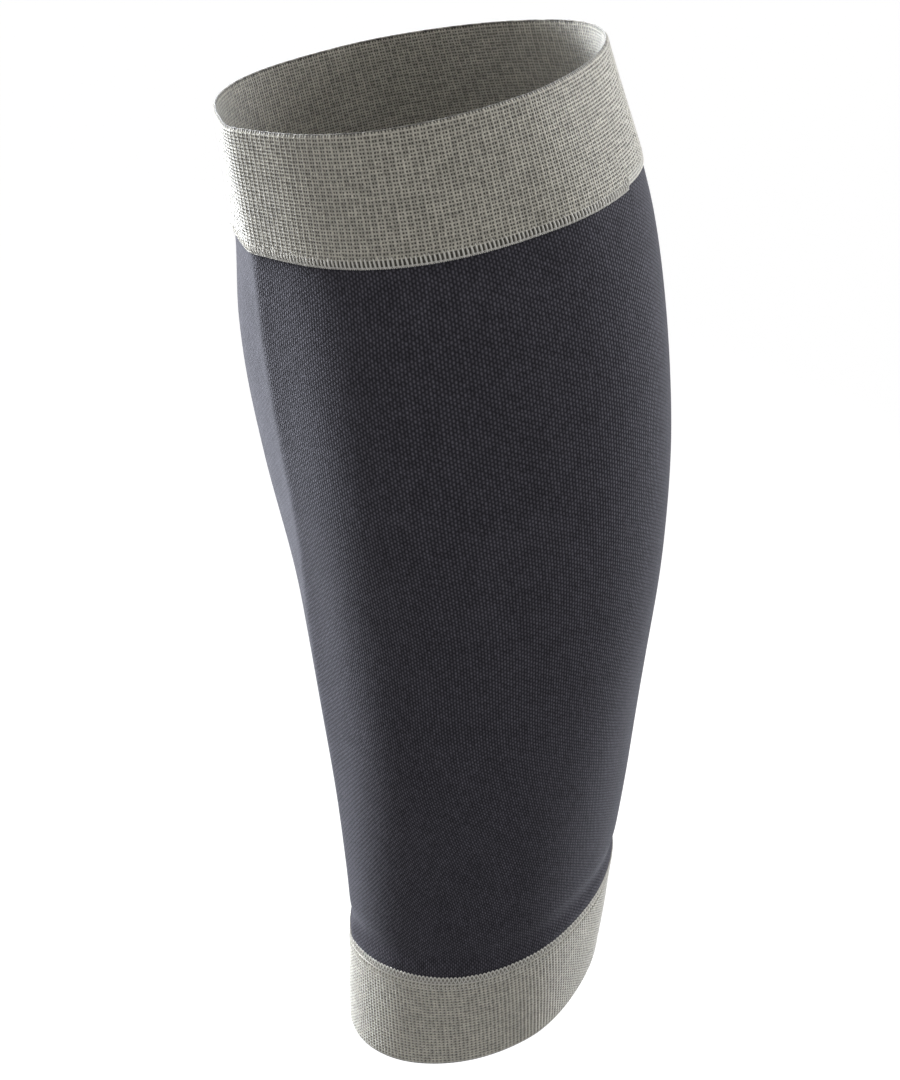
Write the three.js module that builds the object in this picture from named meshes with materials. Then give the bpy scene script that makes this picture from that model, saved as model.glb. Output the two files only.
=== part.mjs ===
// A knitted calf compression sleeve in the form that a lower leg gives it: a dark body tube and two grey
// cuffs, each joined to the body by a narrow stitched seam. Millimetres, +Z up the leg, the shin towards
// -Y. The origin is the middle of the leg in the ankle opening.
import * as THREE from 'three';

// Driving dimensions of the whole sleeve
const sleeveLength = 310;
const topCuffHeight = 33.5;
const ankleCuffHeight = 34.5;

// Girth of the leg form: front to back, and side to side
const calfDepth = 118;
const calfWidth = 117;
const ankleDepth = 94;
const ankleWidth = 77;
const topDepth = 109;
const topWidth = 96;

// How far the calf's middle lies behind the ankle's
const calfSetBack = 20;

// The shin's edge: how far it stands forward, how far it fades to each side, and how round it is
const shinRidge = 4;
const shinRidgeSpread = 11;
const shinRidgeRadius = 2.2;

// How much higher each hem is at the back than at the front
const topHemRise = 4.6;
const ankleHemRise = 8.6;

// Cloth
const bodyWall = 1.2;
const cuffWall = 1.6;
const cuffStandOut = 0.4;
const hemRounding = 0.45;

// Seams: their heights, how far they stand out, the share of the height that each rounded corner takes, and
// how far each seam draws the body in
const topSeamHeight = 1.8;
const ankleSeamHeight = 2.4;
const seamStandOut = 0.7;
const seamCrownShare = 0.25;
const topSeamPinch = 0.3;
const ankleSeamPinch = 0.8;
const pinchReach = 9;
const seamGap = 0.3;

// Facets round the leg, along the body, along each pinched end of it and along a cuff; the points round the
// leg gather at the shin's edge
const aroundCount = 60;
const bodySteps = 18;
const pinchSteps = 3;
const cuffSteps = 5;
const frontGathering = 0.4;

// Colours of the body's yarn, the cuffs' yarn and the thread
const bodyColour = 0x2f2f34;
const cuffColour = 0x97938a;
const threadColour = 0xb4b0a6;
const clothRoughness = 0.9;

// Sections of the leg, from the ankle hem up, a row for each. height is a share of sleeveLength. depth and
// width are shares of the way from the nearer end's size (0) to the calf's (1). setBack is a share of
// calfSetBack, and ridge a share of shinRidge. front and back are how square each half is, where 2 is an
// ellipse. taper is how much wider the back is than the middle, where less than 0 is narrower. The nearer
// end changes from the ankle to the top between the two shares of sleeveLength that follow the table.
const columns = ['height', 'depth', 'width', 'setBack', 'ridge', 'front', 'back', 'taper'];
const sections = [
  [0.00, 0.00, 0.00, 0.00, 0.10, 1.78, 1.80, -0.10],
  [0.06, 0.08, 0.02, 0.24, 0.35, 1.80, 1.84, -0.14],
  [0.12, 0.10, 0.04, 0.43, 0.55, 1.87, 1.88, -0.16],
  [0.25, 0.31, 0.23, 0.67, 0.70, 1.99, 2.00, -0.10],
  [0.38, 0.54, 0.48, 0.84, 0.70, 2.15, 2.10, -0.03],
  [0.52, 0.76, 0.75, 1.01, 0.60, 2.35, 2.17,  0.02],
  [0.66, 0.97, 0.98, 1.03, 0.52, 2.70, 2.16,  0.02],
  [0.80, 0.96, 0.98, 1.01, 0.60, 2.65, 2.08,  0.01],
  [0.88, 0.62, 0.66, 1.02, 0.80, 2.50, 1.97, -0.01],
  [1.00, 0.00, 0.00, 0.88, 1.10, 2.40, 1.83, -0.09],
];
const ankleEndShare = 0.5;
const topEndShare = 0.9;

const heightColumn = columns.indexOf('height');
const sectionBlend = new THREE.CubicInterpolant(
  sections.map((row) => row[heightColumn]),
  sections.flat(),
  columns.length,
);

// The leg's section at a height, in millimetres
function legSection(height) {
  const share = THREE.MathUtils.clamp(height / sleeveLength, 0, 1);
  const values = sectionBlend.evaluate(share);
  const row = Object.fromEntries(columns.map((name, i) => [name, values[i]]));
  const nearerEnd = THREE.MathUtils.smoothstep(share, ankleEndShare, topEndShare);
  const endDepth = THREE.MathUtils.lerp(ankleDepth, topDepth, nearerEnd);
  const endWidth = THREE.MathUtils.lerp(ankleWidth, topWidth, nearerEnd);
  return {
    halfDepth: THREE.MathUtils.lerp(endDepth, calfDepth, row.depth) / 2,
    halfWidth: THREE.MathUtils.lerp(endWidth, calfWidth, row.width) / 2,
    middle: calfSetBack * row.setBack,
    ridge: shinRidge * row.ridge,
    front: row.front,
    back: row.back,
    taper: row.taper,
    slope: THREE.MathUtils.lerp(ankleHemRise / ankleDepth, topHemRise / topDepth, share),
  };
}

// A point of the section's outline; turn runs from 0 to 1 anticlockwise, starting at the leg's +X side
function outlinePoint(section, turn) {
  const even = turn * 2 * Math.PI;
  const angle = even - frontGathering * Math.cos(even);
  const across = Math.cos(angle);
  const along = Math.sin(angle);
  const power = 2 / (along < 0 ? section.front : section.back);
  const acrossShare = Math.sign(across) * Math.abs(across) ** power;
  const alongShare = Math.sign(along) * Math.abs(along) ** power;
  const x = section.halfWidth * acrossShare * (1 + section.taper * alongShare);
  const fade = Math.hypot(x, shinRidgeRadius) - shinRidgeRadius;
  const ridge = along < 0 ? section.ridge * Math.exp(-fade / shinRidgeSpread) : 0;
  return new THREE.Vector2(x, section.middle + section.halfDepth * alongShare - ridge);
}

// A ring of points round the leg at a height, moved out from the leg's form by offset
function ring(height, offset) {
  const section = legSection(height);
  const outline = Array.from({ length: aroundCount }, (_, i) => outlinePoint(section, i / aroundCount));
  return outline.map((point, i) => {
    const before = outline[(i + aroundCount - 1) % aroundCount];
    const after = outline[(i + 1) % aroundCount];
    const along = after.clone().sub(before).normalize();
    const x = point.x + along.y * offset;
    const y = point.y - along.x * offset;
    return new THREE.Vector3(x, y, height + section.slope * y);
  });
}

// A closed band round the leg; its wall's profile is a loop of heights and offsets, up the outside and down
// the inside
function bandGeometry(profile) {
  const positions = profile.flatMap(({ height, offset }) => ring(height, offset).flatMap((p) => p.toArray()));
  const index = [];
  for (let level = 0; level < profile.length; level += 1) {
    const lower = level * aroundCount;
    const upper = ((level + 1) % profile.length) * aroundCount;
    for (let i = 0; i < aroundCount; i += 1) {
      const next = (i + 1) % aroundCount;
      index.push(lower + i, lower + next, upper + next);
      index.push(lower + i, upper + next, upper + i);
    }
  }
  const geometry = new THREE.BufferGeometry();
  geometry.setAttribute('position', new THREE.Float32BufferAttribute(positions, 3));
  geometry.setIndex(index);
  geometry.computeVertexNormals();
  return geometry;
}

// Evenly spaced values from one to the other, both ends included
function steps(from, to, count) {
  return Array.from({ length: count + 1 }, (_, i) => THREE.MathUtils.lerp(from, to, i / count));
}

function clothMaterial(color) {
  return new THREE.MeshStandardMaterial({ color, roughness: clothRoughness, metalness: 0 });
}

function namedMesh(name, geometry, color) {
  const mesh = new THREE.Mesh(geometry, clothMaterial(color));
  mesh.name = name;
  return mesh;
}

// Where each piece ends along the leg
const ankleSeamTop = ankleCuffHeight;
const ankleSeamBottom = ankleSeamTop - ankleSeamHeight;
const topSeamBottom = sleeveLength - topCuffHeight;
const topSeamTop = topSeamBottom + topSeamHeight;
const bodyBottom = ankleSeamTop + seamGap;
const bodyTop = topSeamBottom - seamGap;

// How far the seams draw the body in at a height
function pinchAt(height) {
  const fromAnkle = (height - bodyBottom) / pinchReach;
  const fromTop = (bodyTop - height) / pinchReach;
  return ankleSeamPinch * Math.exp(-(fromAnkle ** 2)) + topSeamPinch * Math.exp(-(fromTop ** 2));
}

// The body tube, between the two seams
function makeBody() {
  const pinchTop = bodyBottom + pinchReach;
  const pinchBottom = bodyTop - pinchReach;
  const heights = [
    ...steps(bodyBottom, pinchTop, pinchSteps),
    ...steps(pinchTop, pinchBottom, bodySteps).slice(1, -1),
    ...steps(pinchBottom, bodyTop, pinchSteps),
  ];
  const outside = heights.map((height) => ({ height, offset: -pinchAt(height) }));
  const inside = outside.map(({ height, offset }) => ({ height, offset: offset - bodyWall })).reverse();
  return namedMesh('calf_body', bandGeometry([...outside, ...inside]), bodyColour);
}

// A cuff between two heights, with its free hem rounded at the top or the bottom
function makeCuff(name, bottom, top, hemAtTop) {
  const inner = cuffStandOut - cuffWall;
  const outside = steps(bottom, top, cuffSteps).map((height) => ({ height, offset: cuffStandOut }));
  const inside = steps(top, bottom, cuffSteps).map((height) => ({ height, offset: inner }));
  const hem = hemAtTop ? outside.length - 1 : 0;
  const edge = { height: outside[hem].height, offset: cuffStandOut - hemRounding };
  outside[hem].height += hemAtTop ? -hemRounding : hemRounding;
  outside.splice(hemAtTop ? outside.length : 0, 0, edge);
  return namedMesh(name, bandGeometry([...outside, ...inside]), cuffColour);
}

// A seam is a band of thread, thicker than the cloth and proud of it, with its corners taken off
function makeSeam(name, bottom, top) {
  const inner = cuffStandOut - cuffWall;
  const crown = (top - bottom) * seamCrownShare;
  const profile = [
    { height: bottom, offset: cuffStandOut },
    { height: bottom + crown, offset: seamStandOut },
    { height: top - crown, offset: seamStandOut },
    { height: top, offset: cuffStandOut },
    { height: top, offset: inner },
    { height: bottom, offset: inner },
  ];
  return namedMesh(name, bandGeometry(profile), threadColour);
}

const sleeve = new THREE.Group();
sleeve.add(makeBody());
sleeve.add(makeCuff('top_cuff', topSeamTop + seamGap, sleeveLength, true));
sleeve.add(makeCuff('ankle_cuff', 0, ankleSeamBottom - seamGap, false));
sleeve.add(makeSeam('top_seam', topSeamBottom, topSeamTop));
sleeve.add(makeSeam('ankle_seam', ankleSeamBottom, ankleSeamTop));

export default sleeve;
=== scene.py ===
# A knitted calf compression sleeve: a dark body tube and two grey ribbed cuffs, joined by stitched seams.
# The cuffs' knit is relief and bump, with painted shade in its holes, between its ribs and bars, at the hem
# and on the inside; the body's knit is colour and bump, and the stitches of the seams are threads. The form
# is worked out in millimetres, and points() turns it into metres.
import math
from collections import namedtuple

import bpy
import numpy as np
from mathutils import Matrix, Vector


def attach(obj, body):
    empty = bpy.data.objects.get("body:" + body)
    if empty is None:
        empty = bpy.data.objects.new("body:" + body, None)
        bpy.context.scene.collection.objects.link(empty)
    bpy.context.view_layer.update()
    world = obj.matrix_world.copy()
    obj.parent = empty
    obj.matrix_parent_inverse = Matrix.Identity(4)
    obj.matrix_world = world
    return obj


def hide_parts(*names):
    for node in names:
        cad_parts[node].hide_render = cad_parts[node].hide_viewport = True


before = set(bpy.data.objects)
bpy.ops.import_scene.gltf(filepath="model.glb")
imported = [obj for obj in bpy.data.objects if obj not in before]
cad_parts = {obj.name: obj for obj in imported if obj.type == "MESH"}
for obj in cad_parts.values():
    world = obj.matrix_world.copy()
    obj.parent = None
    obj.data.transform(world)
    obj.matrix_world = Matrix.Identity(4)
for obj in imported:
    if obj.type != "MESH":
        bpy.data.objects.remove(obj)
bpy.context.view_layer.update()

MM = 0.001
scene = bpy.context.scene

# The leg's form, the same numbers as the construction; a pair is front to back, then side to side
SLEEVE_LENGTH = 310.0
TOP_CUFF = 33.5
ANKLE_CUFF = 34.5
CALF = (118.0, 117.0)
ANKLE = (94.0, 77.0)
TOP = (109.0, 96.0)
CALF_SET_BACK = 20.0
FRONT_GATHERING = 0.4
WALL = 1.2
TOP_SEAM_HEIGHT = 1.8
ANKLE_SEAM_HEIGHT = 2.4
SEAM_GAP = 0.3

# How steeply a ring climbs towards the back, at the ankle and at the top
HEM_RISE = (8.6 / 94.0, 4.6 / 109.0)

# The shin's edge: how far it stands forward and fades; how round it is at each height; and how far to the -X
# side of the middle it runs, up to the heights between which it comes back to the middle
SHIN_RIDGE = 4.0
SHIN_SPREAD = 11.0
SHIN_RADIUS = ([0, 30, 60, 250, 272, 284, 310], [4, 3, 1.8, 1.4, 2.2, 5.5, 6])
SHIN_OFFSET = 9.0
SHIN_COMES_BACK = (148.0, 202.0)

# Sections of the leg from the ankle hem up; height is a share of the length, and the other columns are named
SECTIONS = np.array([
    [0.00, 0.00, 0.00, 0.00, 0.10, 1.78, 1.80, -0.10],
    [0.06, 0.08, 0.02, 0.24, 0.35, 1.80, 1.84, -0.14],
    [0.12, 0.10, 0.04, 0.43, 0.55, 1.87, 1.88, -0.16],
    [0.25, 0.31, 0.23, 0.67, 0.70, 1.99, 2.00, -0.10],
    [0.38, 0.54, 0.48, 0.84, 0.70, 2.15, 2.10, -0.03],
    [0.52, 0.76, 0.75, 1.01, 0.60, 2.35, 2.17, 0.02],
    [0.66, 0.97, 0.98, 1.03, 0.52, 2.70, 2.16, 0.02],
    [0.80, 0.96, 0.98, 1.01, 0.60, 2.65, 2.08, 0.01],
    [0.88, 0.62, 0.66, 1.02, 0.80, 2.50, 1.97, -0.01],
    [1.00, 0.00, 0.00, 0.88, 1.10, 2.40, 1.83, -0.09],
])
HEIGHT, DEPTH, WIDTH, SET_BACK, RIDGE, FRONT, BACK, TAPER = range(8)

# The shares of the length between which the nearer end changes from the ankle to the top
END_SHARES = (0.5, 0.9)

# How fine an outline is worked out, and over how many of its points its direction is taken
OUTLINE_POINTS = 1440
DIRECTION_STEP = 3

# The ankle seam: a groove above it, and the cloth flaring out again just under the groove; then the top seam
ANKLE_PINCH = 0.85
ANKLE_PINCH_RISE = 7.0
ANKLE_PINCH_REACH = 4.3
ANKLE_FLARE = 0.4
ANKLE_FLARE_RISE = 2.2
ANKLE_FLARE_REACH = 1.9
TOP_PINCH = 0.3
TOP_PINCH_REACH = 9.0

# The worn cloth is slimmer at one place: by how much, its turn and spread, and its height and spread
SLIM = 1.5
SLIM_TURN = (0.447, 0.065)
SLIM_HEIGHT = (85, 52)

# Gentle waves in the worn cloth: size, lobes round the leg, height over which one climbs, and its start
WAVES = [(0.16, 2, 31, 0.7), (0.11, 5, -17, 2.1), (0.08, 3, 11, 4.0), (0.05, 9, 23, 1.3)]

# Knit counts: stitches round and rows up
TOP_WALES = 192
TOP_ROWS = 36
ANKLE_WALES = 203
ANKLE_ROWS = 30
BODY_WALES = 390
BODY_ROWS = 187

# How far the wales lean, in wales to a row: the cuffs evenly, and the body where it narrows to the ankle
TOP_LEAN = 0.03
ANKLE_LEAN = -0.116
BODY_LEAN = 0.5
BODY_LEAN_ROW = 36.0
BODY_LEAN_REACH = 27.0

# Points round the body, and rings of points up each side of it and up the inside of a cuff
BODY_COLUMNS = 310
BODY_OUTER_RINGS = 161
BODY_INNER_RINGS = 60
CUFF_INNER_RINGS = 24

# The top seam climbs a little on its way round and steps back where the round closes
JOG_TURN = 0.85
JOG_RISE = 1.1
JOG_FADE = 4

# The top seam's tall stitches, and the turns between which none shows: from its step as far as the back
TOP_STITCHES = 300
PLAIN_TURNS = (0.853, 0.95)
NOWHERE = (2.0, 2.0)

ANKLE_SEAM_TOP = ANKLE_CUFF
ANKLE_SEAM_BOTTOM = ANKLE_CUFF - ANKLE_SEAM_HEIGHT
TOP_SEAM_BOTTOM = SLEEVE_LENGTH - TOP_CUFF
TOP_SEAM_TOP = TOP_SEAM_BOTTOM + TOP_SEAM_HEIGHT

# Height fields of one stitch, four places round by two up: the top cuff has a rib, two holes and a small
# loop, and the ankle cuff a broad rib and one hole
PLACES_ROUND = 4
PLACES_UP = 2
TOP_CELL = np.array([[0.16, 0.04, 0.07, 0.04], [0.14, -0.18, -0.02, -0.18]])
ANKLE_CELL = np.array([[0.10, 0.04, 0.02, 0.04], [0.08, -0.04, -0.26, -0.04]])

# A cuff's cloth: how far it stands out, how far its inside lies in, and its relief under the top seam
CUFF_OUT = 0.3
CUFF_IN = -1.05
UNDER_SEAM_RINGS = 4
UNDER_SEAM = -0.12

# A cuff's hem: its roundness, how far the inside comes out at it and from where, and how much lower it ends
HEM_FADE = (-0.4, 1.2)
HEM_ROUND = 0.25
HEM_ROUND_REACH = 0.5
HEM_INNER = 0.62
HEM_INNER_REACH = 2.5
HEM_DROP = 0.35

# Colours of the yarns, from dark to light; the cuffs' hole and dark colours are painted shade in holes and
# recesses
BODY_DARK = (0.032, 0.0304, 0.0374, 1)
BODY_LIGHT = (0.096, 0.0917, 0.11, 1)
# Painted shade: the dark colour of the cuffs' holes
CUFF_HOLE_SHADE = (0.08, 0.074, 0.06, 1)
# Painted shade: the colour of the recess between the cuffs' ribs and bars
CUFF_RECESS_SHADE = (0.36, 0.34, 0.292, 1)
CUFF_LIGHT = (0.56, 0.53, 0.457, 1)
THREAD_DARK = (0.56, 0.54, 0.5, 1)
THREAD_LIGHT = (0.88, 0.86, 0.81, 1)
SEAM_GROUND = (0.3, 0.287, 0.25, 1)


# The cubic blend between the sections' rows
def section_rows(shares):
    t = SECTIONS[:, HEIGHT]
    last = len(t) - 1
    i = np.clip(np.searchsorted(t, shares, side="right") - 1, 0, last - 1)
    t0, t1 = t[i], t[i + 1]
    before = np.where(i > 0, i - 1, i + 1)
    after = np.where(i + 2 <= last, i + 2, i)
    half = (t1 - t0) / 2
    wp = half / (t0 - t[before])
    wn = half / (t[after] - t1)
    p = (shares - t0) / (t1 - t0)
    pp = p * p
    ppp = pp * p
    s_before = -wp * ppp + 2 * wp * pp - wp * p
    s_here = (1 + wp) * ppp + (-1.5 - 2 * wp) * pp + (-0.5 + wp) * p + 1
    s_next = (-1 - wn) * ppp + (1.5 + wn) * pp + 0.5 * p
    s_after = wn * ppp - wn * pp
    return (s_before[:, None] * SECTIONS[before] + s_here[:, None] * SECTIONS[i]
            + s_next[:, None] * SECTIONS[i + 1] + s_after[:, None] * SECTIONS[after])


def smoothstep(x, low, high):
    s = np.clip((x - low) / (high - low), 0, 1)
    return s * s * (3 - 2 * s)


def mix(a, b, s):
    return a + (b - a) * s


# The turns of evenly spaced points, 0 at the middle of the back, .25 on the -X side and .5 at the shin
def turns(count):
    return (np.arange(count) / count)[None, :]


# The outline at each height, points spaced evenly round it and moved on by a twist of their own; gives x, y,
# the outward direction and the slope of the ring
def leg_rings(heights, count, twists):
    share = np.clip(heights / SLEEVE_LENGTH, 0, 1)
    row = section_rows(share)
    near = smoothstep(share, *END_SHARES)
    half_depth = mix(mix(ANKLE[0], TOP[0], near), CALF[0], row[:, DEPTH])[:, None] / 2
    half_width = mix(mix(ANKLE[1], TOP[1], near), CALF[1], row[:, WIDTH])[:, None] / 2
    middle = (CALF_SET_BACK * row[:, SET_BACK])[:, None]
    ridge_size = (SHIN_RIDGE * row[:, RIDGE])[:, None]
    slope = mix(HEM_RISE[0], HEM_RISE[1], share)
    even = 2 * math.pi * (0.25 + turns(OUTLINE_POINTS))
    angle = even - FRONT_GATHERING * np.cos(even)
    across, along = np.cos(angle), np.sin(angle)
    power = 2 / np.where(along < 0, row[:, FRONT][:, None], row[:, BACK][:, None])
    across_share = np.sign(across) * np.abs(across) ** power
    along_share = np.sign(along) * np.abs(along) ** power
    x = half_width * across_share * (1 + row[:, TAPER][:, None] * along_share)
    radius = np.interp(heights, *SHIN_RADIUS)[:, None]
    edge = -SHIN_OFFSET * (1 - smoothstep(heights, *SHIN_COMES_BACK))[:, None]
    fade = np.hypot(x - edge, radius) - radius
    ridge = np.where(along < 0, ridge_size * np.exp(-fade / SHIN_SPREAD), 0)
    y = middle + half_depth * along_share - ridge
    tx = np.roll(x, -DIRECTION_STEP, 1) - np.roll(x, DIRECTION_STEP, 1)
    ty = np.roll(y, -DIRECTION_STEP, 1) - np.roll(y, DIRECTION_STEP, 1)
    length = np.hypot(tx, ty)
    nx, ny = ty / length, -tx / length
    step = np.hypot(np.roll(x, -1, 1) - x, np.roll(y, -1, 1) - y)
    run = np.concatenate([np.zeros((len(heights), 1)), np.cumsum(step, 1)], 1)
    out = np.zeros((4, len(heights), count))
    wanted = turns(count)[0]
    for r in range(len(heights)):
        at = (wanted + twists[r]) % 1.0 * run[r, -1]
        for k, values in enumerate((x, y, nx, ny)):
            out[k, r] = np.interp(at, run[r], np.append(values[r], values[r, 0]))
    size = np.hypot(out[2], out[3])
    return out[0], out[1], out[2] / size, out[3] / size, slope


# How far the worn cloth wavers from the plain form at a height and a turn
def waver(height, turn):
    from_turn = (turn - SLIM_TURN[0]) / SLIM_TURN[1]
    from_height = (height - SLIM_HEIGHT[0]) / SLIM_HEIGHT[1]
    total = -SLIM * np.exp(-from_turn ** 2 - from_height ** 2)
    for size, lobes, climb, start in WAVES:
        total = total + size * np.sin(lobes * 2 * math.pi * turn + height / climb + start)
    return total


# How far the seams draw the cloth in at a height
def pinch(height):
    body_bottom = ANKLE_SEAM_TOP + SEAM_GAP
    body_top = TOP_SEAM_BOTTOM - SEAM_GAP
    from_groove = (height - body_bottom - ANKLE_PINCH_RISE) / ANKLE_PINCH_REACH
    from_flare = (height - body_bottom - ANKLE_FLARE_RISE) / ANKLE_FLARE_REACH
    from_top = (body_top - height) / TOP_PINCH_REACH
    flare = ANKLE_FLARE * np.exp(-from_flare ** 2)
    return ANKLE_PINCH * np.exp(-from_groove ** 2) - flare + TOP_PINCH * np.exp(-from_top ** 2)


# How far the top seam's climb lifts it at a turn
def join_shift(turn):
    since = (turn - JOG_TURN) % 1.0
    return JOG_RISE * (0.5 - since)


# Points round the leg at each height, moved out by the offsets; lifts are added to the height
def points(heights, count, offsets, lifts=0.0, twists=None):
    heights = np.asarray(heights, float)
    twists = np.zeros(len(heights)) if twists is None else twists
    x, y, nx, ny, slope = leg_rings(heights, count, twists)
    turn = (turns(count) + twists[:, None]) % 1.0
    offset = offsets + waver(heights[:, None], turn)
    px, py = x + nx * offset, y + ny * offset
    pz = heights[:, None] + slope[:, None] * py + lifts
    return np.stack([px, py, pz], -1) * MM


# A smooth-shaded piece of one material
def add_piece(name, verts, faces, material):
    mesh = bpy.data.meshes.new(name)
    mesh.from_pydata(verts, [], faces)
    mesh.polygons.foreach_set("use_smooth", [True] * len(mesh.polygons))
    mesh.materials.append(material)
    piece = bpy.data.objects.new(name, mesh)
    scene.collection.objects.link(piece)
    return piece


# The map places of every face's four corners: the turn across, and the strip's start and end value up
def corner_places(pairs, count):
    shape = (len(pairs), count)
    u0 = np.broadcast_to(turns(count), shape)
    u1 = np.broadcast_to((np.arange(count)[None, :] + 1) / count, shape)
    low = np.broadcast_to(pairs[:, 0][:, None], shape)
    high = np.broadcast_to(pairs[:, 1][:, None], shape)
    corners = [np.stack([u0, low], -1), np.stack([u1, low], -1),
               np.stack([u1, high], -1), np.stack([u0, high], -1)]
    return np.stack(corners, 2).reshape(-1, 2)


def add_map(mesh, name, places):
    made = mesh.uv_layers.new(name=name)
    made.data.foreach_set("uv", places.astype(np.float32).ravel())
    return made


# A closed band from a loop of rings, each a row of points. The map "knit" counts stitches, and "OFBake" is
# spread over the whole band; rows_v and bake_v give each strip's start and end in them, and shear moves the
# wales round by strips.
def shell(name, rings, wales, rows_v, bake_v, material, shear=None):
    ring_count, count = rings.shape[:2]
    r = np.arange(ring_count)[:, None]
    i = np.arange(count)[None, :]
    nxt = (i + 1) % count
    above = (r + 1) % ring_count
    # The turn runs anticlockwise from above, so this order faces outwards
    quads = np.stack([r * count + i, r * count + nxt, above * count + nxt, above * count + i], -1)
    piece = add_piece(name, rings.reshape(-1, 3).tolist(), quads.reshape(-1, 4).tolist(), material)
    knit = corner_places(rows_v, count)
    knit[:, 0] *= wales
    if shear is not None:
        knit[:, 0] += corner_places(shear, count)[:, 1]
    add_map(piece.data, "knit", knit)
    bake_map = add_map(piece.data, "OFBake", corner_places(bake_v, count))
    piece.data.uv_layers.active = bake_map
    bake_map.active_render = True
    piece.data.update()
    return piece


# Pairs of start and end values for each strip of a closed loop of rings: the outside, its far end, the
# inside and the near end; the two ends are thin slices of the map
def strips(outer, inner, outer_span, inner_span):
    end_slice = 1e-4
    pairs = []
    for values in (np.linspace(*outer_span, outer), np.linspace(*inner_span, inner)):
        pairs += list(zip(values[:-1], values[1:]))
        pairs.append((values[-1], values[-1] + end_slice))
    return np.array(pairs)


# Builds nodes in a tree with short calls
class Nodes:
    def __init__(self, tree):
        self.tree = tree

    def add(self, kind, **settings):
        node = self.tree.nodes.new(kind)
        for name, value in settings.items():
            setattr(node, name, value)
        return node

    def put(self, socket, value):
        if isinstance(value, bpy.types.NodeSocket):
            self.tree.links.new(value, socket)
        else:
            socket.default_value = value

    def math(self, operation, *values):
        node = self.add("ShaderNodeMath", operation=operation)
        for socket, value in zip(node.inputs, values):
            self.put(socket, value)
        return node.outputs[0]

    def vector(self, operation, value, other=None):
        node = self.add("ShaderNodeVectorMath", operation=operation)
        self.put(node.inputs[0], value)
        if other is not None:
            self.put(node.inputs["Scale" if operation == "SCALE" else 1], other)
        return node.outputs["Value" if operation == "DOT_PRODUCT" else "Vector"]

    def split(self, value):
        node = self.add("ShaderNodeSeparateXYZ")
        self.put(node.inputs[0], value)
        return node.outputs

    def soft_step(self, value, low, high, at_low, at_high):
        node = self.add("ShaderNodeMapRange", interpolation_type="SMOOTHSTEP")
        for socket, setting in zip(node.inputs, (value, low, high, at_low, at_high)):
            self.put(socket, setting)
        return node.outputs[0]

    def noise(self, place, scale, detail, dimensions="3D"):
        node = self.add("ShaderNodeTexNoise", noise_dimensions=dimensions)
        self.put(node.inputs["Vector"], place)
        self.put(node.inputs["Scale"], scale)
        self.put(node.inputs["Detail"], detail)
        return node.outputs

    def on_piece(self):
        return self.add("ShaderNodeTexCoord").outputs["Object"]

    def on_map(self, name):
        return self.add("ShaderNodeUVMap", uv_map=name).outputs[0]

    def group(self, tree, **values):
        node = self.add("ShaderNodeGroup", node_tree=tree)
        for name, value in values.items():
            self.put(node.inputs[name], value)
        return node.outputs

    def blend(self, factor, a, b):
        node = self.add("ShaderNodeMix", data_type="RGBA")
        self.put(node.inputs["Factor"], factor)
        self.put(node.inputs[6], a)
        self.put(node.inputs[7], b)
        return node.outputs[2]


NUMBER = "NodeSocketFloat"
VECTOR = "NodeSocketVector"


def new_group(name, inputs, outputs):
    tree = bpy.data.node_groups.new(name, "ShaderNodeTree")
    for socket, kind, default in inputs:
        made = tree.interface.new_socket(socket, in_out="INPUT", socket_type=kind)
        if default is not None:
            made.default_value = default
    for socket, kind in outputs:
        tree.interface.new_socket(socket, in_out="OUTPUT", socket_type=kind)
    build = Nodes(tree)
    return tree, build, build.add("NodeGroupInput").outputs, build.add("NodeGroupOutput").inputs


# A soft oval repeated in every stitch; with Stagger 1 every second column is half a row higher
def make_spot():
    core, rim = 0.45, 1.3
    tree, n, given, out = new_group(
        "Knit spot",
        [("Knit", VECTOR, None), ("Across", NUMBER, 0.5), ("Up", NUMBER, 0.5),
         ("Width", NUMBER, 0.3), ("Height", NUMBER, 0.3), ("Stagger", NUMBER, 0.0)],
        [("Mask", NUMBER)])
    place = n.split(given["Knit"])
    odd = n.math("MODULO", n.math("FLOOR", place["X"]), 2.0)
    staggered = n.math("MULTIPLY_ADD", n.math("MULTIPLY", odd, given["Stagger"]), 0.5, place["Y"])
    squares = []
    for value, centre, size in ((place["X"], "Across", "Width"), (staggered, "Up", "Height")):
        shifted = n.math("ADD", n.math("SUBTRACT", value, given[centre]), 0.5)
        away = n.math("SUBTRACT", n.math("FRACT", shifted), 0.5)
        away = n.math("DIVIDE", away, given[size])
        squares.append(n.math("MULTIPLY", away, away))
    far = n.math("SQRT", n.math("ADD", *squares))
    n.put(out["Mask"], n.soft_step(far, core, rim, 1.0, 0.0))
    return tree


# How light the yarn is: from stitch to stitch, in soft patches over the cloth, and in fine fibres
def make_tone():
    patch_scale, fibre_scale = 90.0, 1700.0
    tree, n, given, out = new_group(
        "Yarn tone",
        [("Knit", VECTOR, None), ("Stitches", NUMBER, 0.3), ("Patches", NUMBER, 0.15),
         ("Fibres", NUMBER, 0.3)],
        [("Tone", NUMBER)])
    random = n.add("ShaderNodeTexWhiteNoise", noise_dimensions="2D")
    n.put(random.inputs["Vector"], n.vector("FLOOR", given["Knit"]))
    place = n.on_piece()
    patches = n.noise(place, patch_scale, 3.0)
    fibres = n.noise(place, fibre_scale, 1.0)
    tone = 1.0
    for value, share in ((random.outputs["Value"], "Stitches"), (patches["Fac"], "Patches"),
                         (fibres["Fac"], "Fibres")):
        change = n.math("MULTIPLY", n.math("SUBTRACT", value, 0.5), given[share])
        tone = n.math("ADD", change, tone)
    n.put(out["Tone"], tone)
    return tree


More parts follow.
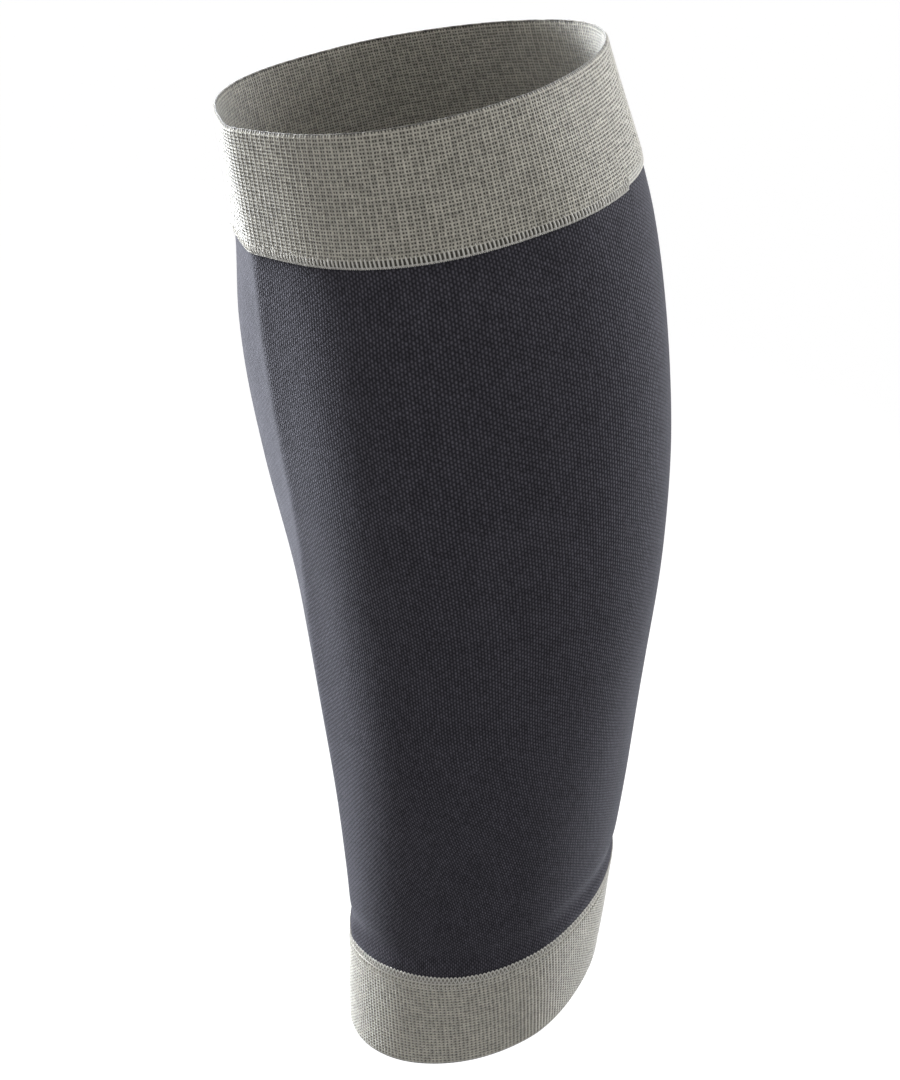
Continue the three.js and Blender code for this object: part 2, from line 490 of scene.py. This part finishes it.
# Lets the stitches sit a little unevenly
def make_drift():
    drift_scale = 0.6
    tree, n, given, out = new_group(
        "Knit drift",
        [("Knit", VECTOR, None), ("Amount", NUMBER, 0.2)],
        [("Knit", VECTOR)])
    noise = n.noise(given["Knit"], drift_scale, 1.0, "2D")
    centred = n.vector("SUBTRACT", noise["Color"], (0.5, 0.5, 0.5))
    n.put(out["Knit"], n.vector("ADD", given["Knit"], n.vector("SCALE", centred, given["Amount"])))
    return tree


SPOT = make_spot()
TONE = make_tone()
DRIFT = make_drift()


def new_material(name):
    material = bpy.data.materials.new(name)
    material.use_nodes = True
    n = Nodes(material.node_tree)
    return material, n, material.node_tree.nodes["Principled BSDF"]


def cloth_finish(shader, roughness, gloss, sheen, sheen_roughness, tint):
    shader.inputs["Roughness"].default_value = roughness
    shader.inputs["Specular IOR Level"].default_value = gloss
    shader.inputs["Sheen Weight"].default_value = sheen
    shader.inputs["Sheen Roughness"].default_value = sheen_roughness
    shader.inputs["Sheen Tint"].default_value = (*tint, 1)


def add_bump(n, shader, height, strength, distance):
    bump = n.add("ShaderNodeBump")
    n.put(bump.inputs["Strength"], strength)
    n.put(bump.inputs["Distance"], distance)
    n.put(bump.inputs["Height"], height)
    n.put(shader.inputs["Normal"], bump.outputs[0])


# The dark body: small lighter stitches standing in staggered columns
def make_body_material():
    material, n, shader = new_material("body_knit")
    knit = n.group(DRIFT, Knit=n.on_map("knit"), Amount=0.3)["Knit"]
    spot = n.group(SPOT, Knit=knit, Width=0.31, Height=0.38, Stagger=1.0)["Mask"]
    tone = n.group(TONE, Knit=knit, Stitches=0.4, Patches=0.35, Fibres=0.6)["Tone"]
    colour = n.blend(spot, BODY_DARK, BODY_LIGHT)
    n.put(shader.inputs["Base Color"], n.vector("SCALE", colour, tone))
    add_bump(n, shader, spot, strength=0.5, distance=0.00025)
    cloth_finish(shader, roughness=0.9, gloss=0.08, sheen=0.3, sheen_roughness=0.3, tint=(0.88, 0.9, 1.0))
    return material


# Painted shade in the gaps between the top seam's tall stitches, on the cuff's lowest rows
def seam_gap_shade(n, own):
    gap_rows, gap_width, all_the_way = 1.9, 0.3, 50.0
    pitch = n.vector("MULTIPLY", own, (TOP_STITCHES / TOP_WALES, 1.0, 1.0))
    between = 0.5 + (TOP_LEAN * TOP_ROWS * TOP_STITCHES / TOP_WALES) % 1.0
    gap = n.group(SPOT, Knit=pitch, Across=between, Width=gap_width, Height=all_the_way)["Mask"]
    place = n.split(own)
    before = n.math("LESS_THAN", place["X"], PLAIN_TURNS[0] * TOP_WALES)
    after = n.math("GREATER_THAN", place["X"], PLAIN_TURNS[1] * TOP_WALES)
    gap = n.math("MULTIPLY", gap, n.math("MAXIMUM", before, after))
    return n.math("MULTIPLY", gap, n.math("LESS_THAN", place["Y"], gap_rows))


# The grey cuffs: upright ribs crossed by bars, with holes between; each hole is (across, width, height). A
# rib's and a bar's size and lightness are shares, and loop is how light the small loop between ribs is. The
# holes, the recess round the ribs and bars, the hem and the inside are painted darker as shade.
def make_cuff_material(name, rib, bar, holes_at, loop, drift, mottle, hem_row, has_gap_shade):
    all_the_way = 50.0
    # How much darker the cuff's inside and its hem are painted, as painted shade, and how many rows the
    # hem's shade covers
    inside_shade, hem_shade_depth, hem_rows = 0.18, 0.6, 0.3
    material, n, shader = new_material(name)
    own = n.on_map("knit")
    knit = n.group(DRIFT, Knit=own, Amount=drift)["Knit"]
    light = n.group(SPOT, Knit=knit, Across=0.0, Width=rib[0], Height=all_the_way)["Mask"]
    light = n.math("MULTIPLY", light, rib[1])
    bars = n.group(SPOT, Knit=knit, Up=0.0, Width=all_the_way, Height=bar[0])["Mask"]
    light = n.math("MAXIMUM", light, n.math("MULTIPLY", bars, bar[1]))
    if loop:
        loops = n.group(SPOT, Knit=knit, Width=0.12, Height=0.3)["Mask"]
        light = n.math("MAXIMUM", light, n.math("MULTIPLY", loops, loop))
    # The holes' mask: the holes are painted dark as shade, and sunk in the bump
    holes = 0.0
    for across, width, height in holes_at:
        hole = n.group(SPOT, Knit=knit, Across=across, Width=width, Height=height)["Mask"]
        holes = n.math("MAXIMUM", hole, holes)
    uneven = n.noise(knit, 1.7, 1.0, "2D")["Fac"]
    holes = n.math("MULTIPLY", holes, n.math("MULTIPLY_ADD", uneven, 0.9, 0.5))
    # Painted shade in the gaps between the top seam's tall stitches
    if has_gap_shade:
        holes = n.math("MAXIMUM", holes, seam_gap_shade(n, own))
    tone = n.group(TONE, Knit=knit, Stitches=mottle, Patches=0.12, Fibres=0.9)["Tone"]
    # Painted shade along the hem: the rows at the hem are painted darker
    from_hem = n.math("ABSOLUTE", n.math("SUBTRACT", n.split(own)["Y"], hem_row))
    hem = n.math("MULTIPLY", n.math("LESS_THAN", from_hem, hem_rows), hem_shade_depth)
    # Painted shade on the cuff's inside: the inside strip of the map is painted darker
    inside = n.math("GREATER_THAN", n.split(n.on_map("OFBake"))["Y"], 0.5)
    tone = n.math("SUBTRACT", n.math("SUBTRACT", tone, hem), n.math("MULTIPLY", inside, inside_shade))
    # Holes and recess take painted shade colours; ribs and bars take the yarn's own lighter colour
    colour = n.blend(holes, n.blend(light, CUFF_RECESS_SHADE, CUFF_LIGHT), CUFF_HOLE_SHADE)
    n.put(shader.inputs["Base Color"], n.vector("SCALE", colour, tone))
    add_bump(n, shader, n.math("SUBTRACT", light, holes), strength=0.6, distance=0.0003)
    cloth_finish(shader, roughness=0.9, gloss=0.25, sheen=0.9, sheen_roughness=0.42, tint=(0.96, 0.97, 1.0))
    return material


# The seams' thread
def make_thread_material():
    material, n, shader = new_material("seam_thread")
    grain = n.noise(n.on_piece(), 900.0, 2.0)["Fac"]
    n.put(shader.inputs["Base Color"], n.blend(grain, THREAD_DARK, THREAD_LIGHT))
    add_bump(n, shader, grain, strength=0.3, distance=0.0002)
    cloth_finish(shader, roughness=0.85, gloss=0.25, sheen=0.3, sheen_roughness=0.4, tint=(1.0, 0.98, 0.95))
    return material


# The plain ground that lies under the ankle seam's stitches
def make_ground_material():
    material, _, shader = new_material("seam_valley")
    shader.inputs["Base Color"].default_value = SEAM_GROUND
    shader.inputs["Roughness"].default_value = 0.9
    return material


body_material = make_body_material()
top_material = make_cuff_material(
    "cuff_knit", rib=(0.15, 1.0), bar=(0.22, 0.85), holes_at=[(0.285, 0.14, 0.31), (0.715, 0.14, 0.31)],
    loop=0.6, drift=0.22, mottle=0.35, hem_row=TOP_ROWS, has_gap_shade=True)
ankle_material = make_cuff_material(
    "ankle_cuff_knit", rib=(0.24, 0.6), bar=(0.23, 1.0), holes_at=[(0.5, 0.22, 0.25)],
    loop=0.0, drift=0.2, mottle=0.35, hem_row=0.0, has_gap_shade=False)
thread_material = make_thread_material()
ground_material = make_ground_material()


# A cuff between two heights. The top one has its hem at the top, and follows the seam's climb at the bottom.
def cuff(name, bottom, top, wales, rows, lean, cell, material, is_top):
    count = wales * PLACES_ROUND
    ring_count = rows * PLACES_UP + 1
    hem_height = top if is_top else bottom
    outer_heights = np.linspace(bottom, top, ring_count)
    relief = np.tile(cell, (rows + 1, wales))[:ring_count]
    if is_top:
        relief[:UNDER_SEAM_RINGS] = UNDER_SEAM
    from_hem = np.abs(outer_heights - hem_height)
    offset = (relief + CUFF_OUT) * smoothstep(from_hem, *HEM_FADE)[:, None]
    offset = offset - HEM_ROUND * np.exp(-(from_hem / HEM_ROUND_REACH) ** 2)[:, None]
    inner_top = top - HEM_DROP if is_top else top
    inner_bottom = bottom if is_top else bottom + HEM_DROP
    inner_heights = np.linspace(inner_top, inner_bottom, CUFF_INNER_RINGS)
    inner_from_hem = np.abs(inner_heights - hem_height)
    inner_offset = CUFF_IN + HEM_INNER * np.exp(-inner_from_hem / HEM_INNER_REACH)[:, None]
    shift = join_shift(turns(count)) if is_top else 0.0
    lifts_out = shift * np.exp(-(outer_heights - bottom) / JOG_FADE)[:, None]
    lifts_in = shift * np.exp(-(inner_heights - bottom) / JOG_FADE)[:, None]
    twist = lean * rows / (top - bottom) / wales
    outside = points(outer_heights, count, offset, lifts_out, (outer_heights - top) * twist)
    inside = points(inner_heights, count, inner_offset, lifts_in, (inner_heights - top) * twist)
    rows_v = strips(ring_count, CUFF_INNER_RINGS, (0, rows), (rows, 0))
    bake_v = strips(ring_count, CUFF_INNER_RINGS, (0.002, 0.49), (0.98, 0.51))
    return shell(name, np.concatenate([outside, inside]), wales, rows_v, bake_v, material)


# The body runs a little under the top cuff and down inside the ankle seam
def body():
    bottom = ANKLE_SEAM_TOP - 1.0
    top = TOP_SEAM_BOTTOM + 0.3
    shift = join_shift(turns(BODY_COLUMNS))
    sides = []
    for heights, inward in ((np.linspace(bottom, top, BODY_OUTER_RINGS), 0.0),
                            (np.linspace(top, bottom, BODY_INNER_RINGS), WALL)):
        lifts = shift * np.exp((heights - top) / JOG_FADE)[:, None]
        sides.append(points(heights, BODY_COLUMNS, -pinch(heights)[:, None] - inward, lifts))
    rows_v = strips(BODY_OUTER_RINGS, BODY_INNER_RINGS, (0, BODY_ROWS), (BODY_ROWS, 0))
    bake_v = strips(BODY_OUTER_RINGS, BODY_INNER_RINGS, (0.002, 0.66), (0.98, 0.68))
    shear = BODY_LEAN * BODY_LEAN_REACH * np.tanh((rows_v - BODY_LEAN_ROW) / BODY_LEAN_REACH)
    return shell("calf_body_knit", np.concatenate(sides), BODY_WALES, rows_v, bake_v, body_material, shear)


# A low rounded band round the leg, the ground of the ankle seam
def seam_band(name, bottom, top, count):
    height = top - bottom
    edge, crown, middle, inner = -0.1, 0.2, 0.25, -1.15
    profile = [(bottom, edge), (bottom + 0.2 * height, crown), (bottom + 0.5 * height, middle),
               (top - 0.2 * height, crown), (top, edge), (top, inner), (bottom, inner)]
    heights = np.array([p[0] for p in profile])
    offset = np.array([p[1] for p in profile])[:, None]
    rows_v = strips(5, 2, (0, 4), (5, 6))
    bake_v = strips(5, 2, (0.01, 0.6), (0.7, 0.95))
    return shell(name, points(heights, count, offset), count, rows_v, bake_v, ground_material)


body_knit = body()
top_cuff = cuff("top_cuff_knit", TOP_SEAM_BOTTOM + 0.1, SLEEVE_LENGTH, TOP_WALES, TOP_ROWS, TOP_LEAN,
                TOP_CELL, top_material, is_top=True)
ankle_cuff = cuff("ankle_cuff_knit", 0.0, ANKLE_SEAM_BOTTOM - 0.1, ANKLE_WALES, ANKLE_ROWS, ANKLE_LEAN,
                  ANKLE_CELL, ankle_material, is_top=False)
ankle_band = seam_band("ankle_seam_band", ANKLE_SEAM_BOTTOM - 0.3, ANKLE_SEAM_TOP + 0.2, ANKLE_WALES * 2)


# A row of stitches set on points by Geometry Nodes. In a stitch's own frame X is out of the cloth, Y round
# the leg and Z up it; the thread bends from Start by Middle to End, and gets thinner at its ends.
def make_stitch_tree():
    thin_end = 0.55
    sway_share = 0.6
    tree = bpy.data.node_groups.new("Stitch row", "GeometryNodeTree")
    tree.interface.new_socket("Geometry", in_out="INPUT", socket_type="NodeSocketGeometry")
    for name, kind in (("Start", VECTOR), ("Middle", VECTOR), ("End", VECTOR), ("Thickness", NUMBER),
                       ("Lean", NUMBER), ("Unevenness", NUMBER), ("Seed", "NodeSocketInt"),
                       ("Material", "NodeSocketMaterial")):
        tree.interface.new_socket(name, in_out="INPUT", socket_type=kind)
    tree.interface.new_socket("Geometry", in_out="OUTPUT", socket_type="NodeSocketGeometry")
    n = Nodes(tree)
    given = n.add("NodeGroupInput").outputs
    out = n.add("NodeGroupOutput").inputs

    bend = n.add("GeometryNodeCurveQuadraticBezier")
    n.put(bend.inputs["Resolution"], 5)
    for name in ("Start", "Middle", "End"):
        n.put(bend.inputs[name], given[name])
    section = n.add("GeometryNodeCurvePrimitiveCircle")
    n.put(section.inputs["Resolution"], 6)
    n.put(section.inputs["Radius"], 1.0)
    along = n.add("GeometryNodeSplineParameter").outputs["Factor"]
    swell = n.math("SINE", n.math("MULTIPLY", along, math.pi))
    swell = n.math("MULTIPLY_ADD", swell, 1.0 - thin_end, thin_end)
    thread = n.add("GeometryNodeCurveToMesh")
    n.put(thread.inputs["Curve"], bend.outputs[0])
    n.put(thread.inputs["Profile Curve"], section.outputs[0])
    n.put(thread.inputs["Scale"], n.math("MULTIPLY", swell, given["Thickness"]))
    n.put(thread.inputs["Fill Caps"], True)
    smooth = n.add("GeometryNodeSetShadeSmooth")
    n.put(smooth.inputs[0], thread.outputs[0])

    axes = n.add("FunctionNodeAxesToRotation", primary_axis="Z", secondary_axis="X")
    for socket, name in zip(axes.inputs, ("up", "outward")):
        stored = n.add("GeometryNodeInputNamedAttribute", data_type="FLOAT_VECTOR")
        n.put(stored.inputs["Name"], name)
        n.put(socket, stored.outputs[0])
    sway = n.add("FunctionNodeRandomValue", data_type="FLOAT")
    n.put(sway.inputs[2], -1.0)
    n.put(sway.inputs[3], 1.0)
    n.put(sway.inputs["Seed"], given["Seed"])
    unevenness = n.math("MULTIPLY", given["Unevenness"], sway_share)
    tilt = n.add("FunctionNodeAxisAngleToRotation")
    n.put(tilt.inputs["Axis"], (1.0, 0.0, 0.0))
    n.put(tilt.inputs["Angle"], n.math("MULTIPLY_ADD", sway.outputs[1], unevenness, given["Lean"]))
    turned = n.add("FunctionNodeRotateRotation", rotation_space="LOCAL")
    n.put(turned.inputs[0], axes.outputs[0])
    n.put(turned.inputs[1], tilt.outputs[0])
    grow = n.add("FunctionNodeRandomValue", data_type="FLOAT")
    n.put(grow.inputs[2], n.math("SUBTRACT", 1.0, given["Unevenness"]))
    n.put(grow.inputs[3], n.math("ADD", 1.0, given["Unevenness"]))
    n.put(grow.inputs["Seed"], n.math("ADD", given["Seed"], 7.0))

    place = n.add("GeometryNodeInstanceOnPoints")
    n.put(place.inputs["Points"], given["Geometry"])
    n.put(place.inputs["Instance"], smooth.outputs[0])
    n.put(place.inputs["Rotation"], turned.outputs[0])
    n.put(place.inputs["Scale"], grow.outputs[1])
    real = n.add("GeometryNodeRealizeInstances")
    n.put(real.inputs["Geometry"], place.outputs[0])
    finish = n.add("GeometryNodeSetMaterial")
    n.put(finish.inputs["Geometry"], real.outputs[0])
    n.put(finish.inputs["Material"], given["Material"])
    n.put(out["Geometry"], finish.outputs[0])
    return tree


STITCH_TREE = make_stitch_tree()

# One row of stitches: its height, how many go round, how far out they lie, how far round the first one is as
# a share of a stitch, the thread's three points in a stitch's own frame, its thickness and how it leans
Row = namedtuple("Row", "height count out phase start middle end thickness lean", defaults=(0.0,))


# Points for a row of stitches, with the directions up the leg and out of the cloth stored on them, and none
# between the two turns of plain
def row_points(name, row, jog, plain):
    steps = 8
    apart = 0.5
    fine = row.count * steps
    lifts = join_shift(turns(fine)) if jog else 0.0
    heights = [row.height - apart, row.height, row.height + apart]
    rings = points(heights, fine, np.zeros((3, fine)) + row.out, lifts)
    inner = points([row.height], fine, np.zeros((1, fine)) + row.out - apart, lifts)[0]
    chosen = (np.arange(row.count) * steps + int(round(row.phase * steps))) % fine
    chosen = chosen[(chosen / fine < plain[0]) | (chosen / fine > plain[1])]
    mesh = bpy.data.meshes.new(name + "_points")
    mesh.from_pydata(rings[1][chosen].tolist(), [], [])
    for key, values in (("up", rings[2] - rings[0]), ("outward", rings[1] - inner)):
        unit = values / np.linalg.norm(values, axis=1, keepdims=True)
        stored = mesh.attributes.new(key, "FLOAT_VECTOR", "POINT")
        stored.data.foreach_set("vector", unit[chosen].astype(np.float32).ravel())
    return mesh


# Several rows of stitches joined as one piece; jog makes them follow the top seam's climb, and no stitch
# lies between the two turns of plain
def stitch_rows(name, rows, jog, unevenness, seed, plain=NOWHERE):
    holders = []
    for k, row in enumerate(rows):
        holder = bpy.data.objects.new(f"{name}_row_{k}", row_points(name, row, jog, plain))
        scene.collection.objects.link(holder)
        change = holder.modifiers.new("stitches", "NODES")
        change.node_group = STITCH_TREE
        values = {"Start": [c * MM for c in row.start], "Middle": [c * MM for c in row.middle],
                  "End": [c * MM for c in row.end], "Thickness": row.thickness * MM, "Lean": row.lean,
                  "Unevenness": unevenness, "Seed": seed + k, "Material": thread_material}
        for item in STITCH_TREE.interface.items_tree:
            if item.item_type == "SOCKET" and item.in_out == "INPUT" and item.name in values:
                change[item.identifier] = values[item.name]
        holders.append(holder)
    graph = bpy.context.evaluated_depsgraph_get()
    verts = []
    faces = []
    for holder in holders:
        done = bpy.data.meshes.new_from_object(holder.evaluated_get(graph), depsgraph=graph)
        first = len(verts)
        verts += [tuple(v.co) for v in done.vertices]
        faces += [[first + i for i in p.vertices] for p in done.polygons]
        bpy.data.meshes.remove(done)
        holder.modifiers.clear()
        bpy.data.objects.remove(holder)
    return add_piece(name, verts, faces, thread_material)


# Threads lying right round the leg, as closed tubes; each is (height, offset, radius)
def round_threads(name, threads, count, jog):
    sides = 6
    lifts = join_shift(turns(count)) if jog else 0.0
    verts = []
    faces = []
    for height, offset, radius in threads:
        first = len(verts)
        for k in range(sides):
            angle = 2 * math.pi * k / sides
            out = np.zeros((1, count)) + offset + radius * math.cos(angle)
            verts += points([height + radius * math.sin(angle)], count, out, lifts)[0].tolist()
        for k in range(sides):
            here = first + k * count
            above = first + (k + 1) % sides * count
            for i in range(count):
                j = (i + 1) % count
                faces.append([here + i, here + j, above + j, above + i])
    return add_piece(name, verts, faces, thread_material)


# The top seam: a row of tall stitches, and below it a fine edge with tiny loops
top_middle = (TOP_SEAM_BOTTOM + TOP_SEAM_TOP) / 2
top_stitches = stitch_rows("top_seam_stitches", [
    Row(top_middle + 0.2, TOP_STITCHES, out=0.14, phase=0.0, thickness=0.25, lean=0.1,
        start=(-0.1, 0, -1.35), middle=(0.75, 0.1, 0), end=(-0.1, 0, 1.5)),
], jog=True, unevenness=0.12, seed=11, plain=PLAIN_TURNS)
top_loops = stitch_rows("top_seam_loops", [
    Row(TOP_SEAM_BOTTOM - 0.1, TOP_STITCHES * 2, out=-0.05, phase=0.25, thickness=0.11,
        start=(0.1, -0.3, 0.2), middle=(0.3, 0, -0.6), end=(0.1, 0.3, 0.2)),
], jog=True, unevenness=0.1, seed=31)
top_edge = round_threads("top_seam_edge", [(TOP_SEAM_BOTTOM + 0.15, 0.2, 0.09)], TOP_WALES * 3, jog=True)

# The ankle seam: scalloped tips, a zigzag below them, hooks under that, and a fine line above and below the
# hooks
scallops = stitch_rows("ankle_seam_scallops", [
    Row(ANKLE_SEAM_TOP - 0.15, ANKLE_WALES, out=0.2, phase=0.0, thickness=0.24,
        start=(0.0, -0.6, -0.6), middle=(0.4, 0, 2.0), end=(0.0, 0.6, -0.6)),
], jog=False, unevenness=0.08, seed=51)
zigzag = stitch_rows("ankle_seam_zigzag", [
    Row(ANKLE_SEAM_TOP - 1.1, ANKLE_WALES, out=0.3, phase=0.25, thickness=0.16,
        start=(0.0, -0.36, -0.9), middle=(0.35, 0, 0), end=(0.0, 0.36, 0.9)),
    Row(ANKLE_SEAM_TOP - 1.1, ANKLE_WALES, out=0.3, phase=0.75, thickness=0.16,
        start=(0.0, 0.36, -0.9), middle=(0.35, 0, 0), end=(0.0, -0.36, 0.9)),
], jog=False, unevenness=0.1, seed=61)
hooks = stitch_rows("ankle_seam_hooks", [
    Row(ANKLE_SEAM_BOTTOM - 1.05, ANKLE_WALES, out=0.3, phase=0.0, thickness=0.12,
        start=(0.0, 0.32, -1.0), middle=(0.35, -0.8, 0), end=(0.0, 0.32, 1.0)),
], jog=False, unevenness=0.08, seed=81)
ankle_lines = round_threads("ankle_seam_lines",
                            [(ANKLE_SEAM_BOTTOM + 0.15, 0.25, 0.13), (ANKLE_SEAM_BOTTOM - 2.25, 0.28, 0.1)],
                            ANKLE_WALES * 3, jog=False)

top_extras = [top_stitches, top_loops, top_edge]
ankle_extras = [scallops, zigzag, hooks, ankle_lines]
for piece in top_extras + ankle_extras:
    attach(piece, "root")

for piece in (body_knit, top_cuff, ankle_cuff, ankle_band):
    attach(piece, "root")
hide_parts("calf_body")
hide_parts("top_cuff")
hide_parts("ankle_cuff")
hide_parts("top_seam")
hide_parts("ankle_seam")


# A wide floor well below the part, in metres, white where the camera sees it
def make_floor():
    half, level = 40, -0.4
    mesh = bpy.data.meshes.new("floor")
    corners = [(-half, -half, level), (half, -half, level), (half, half, level), (-half, half, level)]
    mesh.from_pydata(corners, [], [(0, 1, 2, 3)])
    floor = bpy.data.objects.new("floor", mesh)
    scene.collection.objects.link(floor)
    material, n, shader = new_material("floor")
    shader.inputs["Base Color"].default_value = (0.55, 0.55, 0.55, 1)
    shader.inputs["Roughness"].default_value = 0.9
    shader.inputs["Emission Color"].default_value = (1, 1, 1, 1)
    seen = n.add("ShaderNodeLightPath").outputs["Is Camera Ray"]
    n.put(shader.inputs["Emission Strength"], n.math("MULTIPLY", seen, 0.62))
    mesh.materials.append(material)


# The studio: bright all round and overhead, darker on the camera's side, and white where the camera sees it
def make_world(toward_camera, dark, bright):
    world = bpy.data.worlds.new("studio")
    world.use_nodes = True
    scene.world = world
    n = Nodes(world.node_tree)
    direction = n.add("ShaderNodeTexCoord").outputs["Generated"]
    facing = n.vector("DOT_PRODUCT", direction, toward_camera)
    strength = n.add("ShaderNodeMix", data_type="FLOAT")
    n.put(strength.inputs["Factor"], n.add("ShaderNodeLightPath").outputs["Is Camera Ray"])
    n.put(strength.inputs[2], n.soft_step(facing, 0.1, 0.9, bright, dark))
    n.put(strength.inputs[3], 1.0)
    shader = world.node_tree.nodes["Background"]
    shader.inputs["Color"].default_value = (1, 1, 1, 1)
    n.put(shader.inputs["Strength"], strength.outputs[0])


def soft_light(name, place, aim, size, power, spread, colour):
    data = bpy.data.lights.new(name, "AREA")
    data.shape = "RECTANGLE"
    data.size, data.size_y = size
    data.energy = power
    data.spread = math.radians(spread)
    data.color = colour
    light = bpy.data.objects.new(name, data)
    turned = (aim - place).to_track_quat("-Z", "Y").to_matrix().to_4x4()
    light.matrix_world = Matrix.Translation(place) @ turned
    scene.collection.objects.link(light)


# The camera, as the photo was taken: it looks at a point beside the leg's middle, from a distance in metres,
# and its lens is 1695 pixels of a frame 1080 high
AZIMUTH = math.radians(62.0)
ELEVATION = math.radians(27.9)
ROLL = math.radians(-6.67)
DISTANCE = 0.516
LOOKED_AT = (0.0083, 0.1711)
SENSOR = 36

right = Vector((math.cos(AZIMUTH), math.sin(AZIMUTH), 0))
level_look = Vector((-math.sin(AZIMUTH), math.cos(AZIMUTH), 0))
look = level_look * math.cos(ELEVATION) - Vector((0, 0, math.sin(ELEVATION)))
up = right.cross(look)


# A place by how far it is to the picture's right, behind the part, and up
def stand(side, behind, height):
    return right * side + level_look * behind + Vector((0, 0, height))


def make_camera():
    axis_x = right * math.cos(ROLL) + up * math.sin(ROLL)
    axis_y = up * math.cos(ROLL) - right * math.sin(ROLL)
    data = bpy.data.cameras.new("camera")
    data.sensor_width = SENSOR
    data.lens = 1695 * SENSOR / 1080
    data.clip_start = 0.01
    camera = bpy.data.objects.new("camera", data)
    turned = Matrix((axis_x, axis_y, -look)).transposed().to_4x4()
    place = stand(LOOKED_AT[0], 0, LOOKED_AT[1]) - look * DISTANCE
    camera.matrix_world = Matrix.Translation(place) @ turned
    scene.collection.objects.link(camera)
    scene.camera = camera


make_floor()
make_camera()
make_world(tuple(stand(0, -0.95, 0.31)), dark=0.25, bright=0.85)
soft_light("left light", stand(-0.6, 0.5, 0.5), stand(-0.03, 0, 0.26), size=(0.35, 0.5), power=4.0,
           spread=60, colour=(0.92, 0.96, 1.0))
soft_light("right light", stand(0.76, 0.36, 0.38), stand(0, 0, 0.2), size=(0.35, 0.8), power=8.2,
           spread=180, colour=(0.95, 0.98, 1.0))
soft_light("front light", stand(0.1, -0.8, 1.05), stand(0, 0, 0.25), size=(0.5, 0.4), power=1.4,
           spread=180, colour=(1.0, 1.0, 1.0))
scene.view_settings.view_transform = "Standard"
